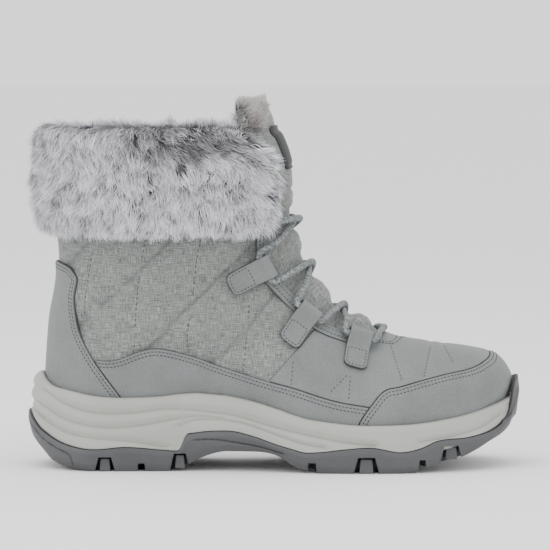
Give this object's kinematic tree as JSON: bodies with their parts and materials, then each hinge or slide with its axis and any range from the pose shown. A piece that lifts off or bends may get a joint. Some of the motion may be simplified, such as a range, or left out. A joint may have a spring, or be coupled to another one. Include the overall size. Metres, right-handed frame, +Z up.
{
  "type": "snow boot",
  "caption": "Women's grey snow boot with a folded fur cuff, quilted shaft, leather panels and tabs, round lace, thick foam midsole and lugged rubber outsole",
  "frame": {"origin": "centre of the boot's box on the floor plane that the sole stands on", "axes": "+X from heel to toe, -Y to the boot's outer (lateral) side, +Z up"},
  "size_m": [0.2816, 0.1328, 0.2036],
  "materials": {
    "textile": "grey melange weave, quilted",
    "leather": "matte light blue-grey leather",
    "foam": "smooth matte warm light grey moulded foam",
    "rubber": "matte mid grey rubber",
    "fur": "deep faux fur, pale tips and dark roots",
    "lining": "short brownish grey pile",
    "patch": "plain dark grey moulded patch",
    "cord": "round braided pale blue-grey lace"
  },
  "bodies": {
    "root": {"facing_lateral": "leather", "facing_medial": "leather", "fur_cuff": "fur", "heel_counter": "leather", "insole": "lining", "lace": "cord", "lace_tab_lateral_1": "leather", "lace_tab_lateral_2": "leather", "lace_tab_lateral_3": "leather", "lace_tab_lateral_4": "leather", "lace_tab_medial_1": "leather", "lace_tab_medial_2": "leather", "lace_tab_medial_3": "leather", "lace_tab_medial_4": "leather", "midsole": "foam", "mudguard_lateral": "leather", "mudguard_medial": "leather", "outsole": "rubber", "toe_cap": "leather", "tongue": "textile", "tongue_fur": "lining", "tongue_patch": "patch", "upper": "textile", "vamp": "leather"}
  },
  "joints": []
}
